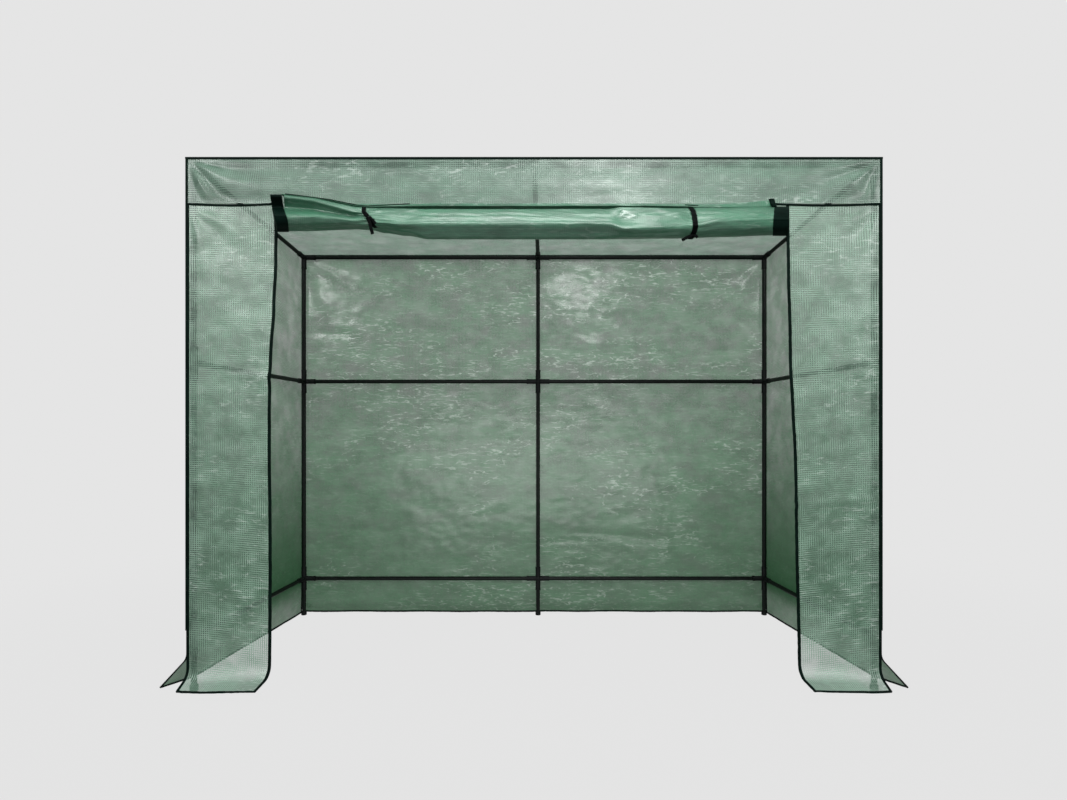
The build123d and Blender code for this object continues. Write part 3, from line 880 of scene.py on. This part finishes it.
def roll_point(x, turn, grow=0.0, creased=1.0):
    """A point on the roll's outside. Turn 0 is the front crease, 0.4 about the top, 0.85 the underside."""
    points = roll_section(x)
    turn_share = turn % 1.0
    index = int(turn_share * len(points))
    t = turn_share * len(points) - index
    near = [points[(index + step) % len(points)] for step in (-1, 0, 1, 2)]
    out = curve_value(*[point[0] for point in near], t)
    height = curve_value(*[point[1] for point in near], t)
    away = Vector((0, out - SECTION_MIDDLE, height - section_middle(points))).normalized()
    on_front = smooth(0.5, 0.4, turn_share) if turn_share < 0.6 else smooth(0.8, 0.9, turn_share)
    offset = roll_bumps(x, turn) * creased * on_front + grow
    return Vector((x, ROLL_BACK - out - away.y * offset, height + away.z * offset))


def end_lean(point):
    """How far a point at the roll's ends leans along it, from its depth."""
    return CAP_LEAN * (ROLL_BACK - point.y - LEAN_FROM)


def roll_place(u, v):
    point = roll_point(ROLL_LEFT + (ROLL_RIGHT - ROLL_LEFT) * u, v)
    point.x += end_lean(point) * (smooth(0.2, 0.0, u) - smooth(0.8, 1.0, u))
    return point


roll = bmesh.new()
shaped_grid(roll, 340, 84, (ROLL_RIGHT - ROLL_LEFT, ROLL_GIRTH), roll_place)
close_ring(roll)
door_roll = finish_closed("door_roll", roll, roll_film)
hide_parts("rolled_door")

# Flap that the door is sewn to: it stands off the seam, turns over a lip and goes back under to the roll.
# Its top height, how far it stands out and the lip's depth are listed by x.
FLAP_LEFT = -0.701
FLAP_WIDTH = 0.065
FLAP_RIPPLE = 0.0007
FLAP_TOP = [
    (-0.700, 1.4030), (-0.570, 1.3889), (-0.495, 1.3760), (-0.465, 1.3743), (-0.365, 1.3834),
    (-0.290, 1.3867), (0.325, 1.3867), (0.435, 1.3807), (0.460, 1.3790), (0.545, 1.3845), (0.668, 1.3935),
]
FLAP_OUT = [
    (-0.700, 0.042), (-0.570, 0.036), (-0.465, 0.028), (-0.365, 0.020), (-0.290, 0.019), (0.325, 0.019),
    (0.445, 0.020), (0.668, 0.024),
]
FLAP_LIP = [
    (-0.700, 0.002), (-0.465, 0.002), (-0.365, 0.005), (-0.290, 0.0072), (0.325, 0.0072), (0.440, 0.003),
    (0.460, 0.004), (0.545, 0.011), (0.668, 0.0185),
]


def flap_point(u, v):
    x = FLAP_LEFT + (ROLL_RIGHT - FLAP_LEFT) * u
    top, out, lip = (read_stations(stations, x) for stations in (FLAP_TOP, FLAP_OUT, FLAP_LIP))
    top += FLAP_RIPPLE * noise.noise(Vector((x * 16, 3, 51)))
    tuck = min(roll_section(x)[TOP_BACK][1], top - lip - 0.002)
    depths = [
        (0.0, -0.0015), (0.25, -out), (0.30, -out - 0.001), (0.45, -out), (0.50, -out + 0.003),
        (0.8, 0.001), (1.0, -0.002),
    ]
    levels = [
        (0.0, max(SEAM_Z, top)), (0.25, top), (0.30, top - 0.0008), (0.45, top - lip), (0.8, top - lip),
        (1.0, tuck),
    ]
    ripple = FLAP_RIPPLE * noise.noise(Vector((x * 24, v * 3, 53)))
    return Vector((x, FRONT_Y + read_stations(depths, v) - ripple, read_stations(levels, v)))


flap_flat = (ROLL_RIGHT - FLAP_LEFT, FLAP_WIDTH)
flap = cloth_piece("door_flap", 260, 50, flap_flat, flap_point, roll_film)

# Bound ends of the roll: where the section of each is read, how far it bows, and the x of its two edges
# at its top and at its foot
CAP_TOP, CAP_FOOT = 1.400, 1.309
CAP_WIDTH, CAP_PROUD, CAP_CREASED = 0.03, 0.0016, 0.2
CAPS = (
    (-0.700, -0.0015, (-0.7330, -0.7010), (-0.7140, -0.6815)),
    (0.670, 0.0, (0.6700, 0.7080), (0.6640, 0.7070)),
)


def cap_surface(section_x, bow, at_top, at_foot):
    """A bound end's surface: u runs along the roll, v round it."""
    def place(u, v):
        point = roll_point(section_x, v, CAP_PROUD, CAP_CREASED)
        down = min(1.1, max(-0.1, even(CAP_TOP, CAP_FOOT, point.z)))
        first, last = (top + (foot - top) * down for top, foot in zip(at_top, at_foot))
        lean = end_lean(point) * math.copysign(1, section_x)
        point.x = first + (last - first) * u + bow * math.sin(math.pi * down) - lean
        point.y += 0.0005 * noise.noise(Vector((u * 5, v * 14, 3)))
        return point

    return place


caps = bmesh.new()
for cap in CAPS:
    shaped_grid(caps, 12, 84, (CAP_WIDTH, ROLL_GIRTH), cap_surface(*cap))
close_ring(caps)
cap_piece = finish_closed("roll_end_tape", caps, binding_tape)
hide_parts("roll_end_bindings")


# Piping on the flap's upper edge, from its left end past the left tie and again at the right tie, and
# the knot at its right end
FLAP_PIPING_PROUD = 0.0006


def flap_edge_path(first_x, last_x):
    """The path of the flap's piping between two places along it."""
    def path(t):
        x = first_x + (last_x - first_x) * t
        out = read_stations(FLAP_OUT, x) + FLAP_PIPING_PROUD
        top = read_stations(FLAP_TOP, x) + FLAP_PIPING_PROUD
        return Vector((x, FRONT_Y - out, top)), Vector((0, 0, 1)), Vector((0, 1, 0))

    return path


KNOT_X, KNOT_OUT, KNOT_Z = 0.6650, 0.027, 1.3950
KNOT_SIDEWAYS, KNOT_DROP = 0.008, 0.022
KNOT_HALVES = (0.0075, 0.0035)


def knot_path(t):
    middle = Vector((KNOT_X + KNOT_SIDEWAYS * t, FRONT_Y - KNOT_OUT, KNOT_Z - KNOT_DROP * t))
    return middle, Vector((1, 0, 0)), Vector((0, 1, 0))


flap_edge = bmesh.new()
add_band(flap_edge, flap_edge_path(-0.690, -0.350), FLAP_PIPING, 90, pucker=0.0003)
add_band(flap_edge, flap_edge_path(0.425, 0.462), FLAP_PIPING, 12)
add_band(flap_edge, knot_path, KNOT_HALVES, 14, around=14, pucker=0.003, seed=4)
finish_closed("flap_binding", flap_edge, binding_tape)


# Ties
RIBBON_THICK = 0.0007
TIE_PUCKER = 0.0008
RIGHT_WRAP = RIGHT_TIE - 0.004


def wrap_path(place, slant, first, last):
    """A ribbon's path round the roll between two turns; slant moves it sideways on the way."""
    proud, looseness, step = 0.0022, 0.6, 0.01

    def path(t):
        turn = first + (last - first) * t
        x = place + slant * (t - 0.5)
        here = roll_point(x, turn, proud, looseness)
        ahead = roll_point(x + slant * step, turn + (last - first) * step, proud, looseness)
        along = (ahead - here).normalized()
        centre = Vector((x, ROLL_BACK - SECTION_MIDDLE, section_middle(roll_section(x))))
        out = here - centre
        out = (out - along * out.dot(along)).normalized()
        return here, along.cross(out), out

    return path


def tail_path(start, way, length, curl):
    """A short loose end that hangs and curls."""
    side = Vector(way).normalized()
    forward = Vector((0, -1, 0))

    def path(t):
        here = start + side * length * t + forward * curl * math.sin(t * 2.6)
        here.x += 0.25 * curl * math.sin(t * 4)
        out = (forward + side * 0.4 * math.cos(t * 3)).normalized()
        out = (out - side * out.dot(side)).normalized()
        return here, side.cross(out), out

    return path


def add_tail(shape, start, way, length, curl, halves, along, pucker=TIE_PUCKER, seed=0.0):
    """Adds a loose end of ribbon."""
    path = tail_path(start, way, length, curl)
    add_band(shape, path, halves, along, around=12, pucker=pucker, seed=seed)


left_ribbon = bmesh.new()
left_wrap = wrap_path(LEFT_TIE, slant=0.036, first=0.43, last=-0.13)
add_band(left_ribbon, left_wrap, (0.0060, RIBBON_THICK), 60, around=12, pucker=TIE_PUCKER)
knot = roll_point(LEFT_TIE + 0.004, turn=0.06, grow=0.004, creased=0)
long_end = knot + Vector((-0.002, -0.002, 0.004))
add_tail(left_ribbon, long_end, (0.34, 0, -1), 0.050, 0.005, (0.0046, 0.0011), 30)
short_end = knot + Vector((0.004, -0.003, 0.004))
add_tail(left_ribbon, short_end, (0.75, 0, -0.8), 0.026, 0.003, (0.0040, 0.0011), 16)
loop_end = knot + Vector((-0.012, -0.002, 0.016))
add_tail(left_ribbon, loop_end, (0.6, 0, -0.75), 0.026, 0.002, (0.0038, 0.0012), 16, pucker=0.0012, seed=2)
left_tie = finish_closed("left_ribbon", left_ribbon, ribbon_cloth)
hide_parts("left_tie")

right_ribbon = bmesh.new()
right_wrap = wrap_path(RIGHT_WRAP, slant=0.001, first=0.45, last=-0.22)
add_band(right_ribbon, right_wrap, (0.0072, RIBBON_THICK), 60, around=12, pucker=0.0005)
knot = roll_point(RIGHT_WRAP, turn=-0.10, grow=0.004, creased=0)
add_tail(right_ribbon, knot, (-0.9, 0, -0.5), 0.036, 0.004, (0.0042, 0.0011), 24)
add_tail(right_ribbon, knot, (0.7, 0, -0.6), 0.015, 0.002, (0.0038, 0.0011), 12)
right_tie = finish_closed("right_ribbon", right_ribbon, ribbon_cloth)
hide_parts("right_tie")


# Floor, light and camera: the floor fades to the background between two distances from the middle
BACKGROUND = (0.783, 0.783, 0.783, 1)
FLOOR_GREY = (0.25, 0.25, 0.25, 1)
FLOOR_RADIUS = 6.0
FADE_FROM, FADE_TO = 1.3, 3.2
NEAR_BACKGROUND_SHARE = 0.975
SOFT_LIGHT = 0.5


def pale_floor():
    """A pale floor that fades into the background and keeps a faint shadow."""
    disc = bmesh.new()
    bmesh.ops.create_circle(disc, cap_ends=True, segments=96, radius=FLOOR_RADIUS)
    mesh = bpy.data.meshes.new("floor")
    disc.to_mesh(mesh)
    disc.free()
    floor = bpy.data.objects.new("floor", mesh)
    bpy.context.scene.collection.objects.link(floor)
    material = bpy.data.materials.new("pale_floor")
    net = emptied_tree(material)
    distance = net.node("VectorMath")
    distance.operation = "LENGTH"
    net.feed(net.node("TexCoord").outputs["Object"], distance.inputs[0])
    background_share = net.ranged(distance.outputs["Value"], FADE_FROM, FADE_TO, NEAR_BACKGROUND_SHARE, 1)
    matt = net.node("BsdfDiffuse", Color=FLOOR_GREY)
    glow = net.node("Emission", Color=BACKGROUND)
    surface = net.blended(net.times(net.seen_directly(), background_share), matt, glow)
    net.node("OutputMaterial", Surface=surface.outputs[0])
    mesh.materials.append(material)


def studio_world():
    """A soft even light from all round, seen as the pale background."""
    world = bpy.data.worlds.new("studio")
    bpy.context.scene.world = world
    net = emptied_tree(world)
    soft_light = net.node("Background", Color=(1, 1, 1, 1), Strength=SOFT_LIGHT)
    seen_light = net.node("Background", Color=BACKGROUND)
    surface = net.blended(net.seen_directly(), soft_light, seen_light)
    net.node("OutputWorld", Surface=surface.outputs[0])


def soft_lamp(name, place, target, size, power):
    """A soft box lamp that isn't seen itself."""
    data = bpy.data.lights.new(name, "AREA")
    data.shape = "RECTANGLE"
    data.size, data.size_y = size
    data.energy = power
    lamp = bpy.data.objects.new(name, data)
    lamp.location = place
    lamp.rotation_euler = (Vector(target) - Vector(place)).to_track_quat("-Z", "Y").to_euler()
    lamp.visible_camera = False
    bpy.context.scene.collection.objects.link(lamp)


pale_floor()
studio_world()
LAMP_DEPTH, LAMP_HEIGHT = -1.93, 2.14
LAMP_SIZE = (0.34, 0.34)
soft_lamp("middle_lamp", (0.41, LAMP_DEPTH, LAMP_HEIGHT), (0.1, -0.2, 1.1), LAMP_SIZE, 29)
soft_lamp("left_lamp", (-1.83, LAMP_DEPTH, LAMP_HEIGHT), (-0.6, -0.2, 1.1), LAMP_SIZE, 22.5)
soft_lamp("right_lamp", (2.3, LAMP_DEPTH, LAMP_HEIGHT), (0.7, -0.2, 1.1), LAMP_SIZE, 21.5)
soft_lamp("top_lamp", (0.0, -1.0, 3.2), (0, 0, 0.9), (1.6, 1.2), 44)
soft_lamp("low_lamp", (0.0, -3.5, 0.5), (0, 0, 0.5), (2.4, 1.0), 40)

CAMERA_PLACE = (0.0, -1.930, 0.6752)
CAMERA_SENSOR, CAMERA_LENS = 36.0, 18.64
CAMERA_SHIFT = (-0.0005, 0.0525)
camera_data = bpy.data.cameras.new("camera")
camera_data.sensor_width = CAMERA_SENSOR
camera_data.lens = CAMERA_LENS
camera_data.shift_x, camera_data.shift_y = CAMERA_SHIFT
camera = bpy.data.objects.new("camera", camera_data)
camera.location = CAMERA_PLACE
camera.rotation_euler = (math.radians(90), 0, 0)
bpy.context.scene.collection.objects.link(camera)
bpy.context.scene.camera = camera
bpy.context.scene.view_settings.view_transform = "Standard"
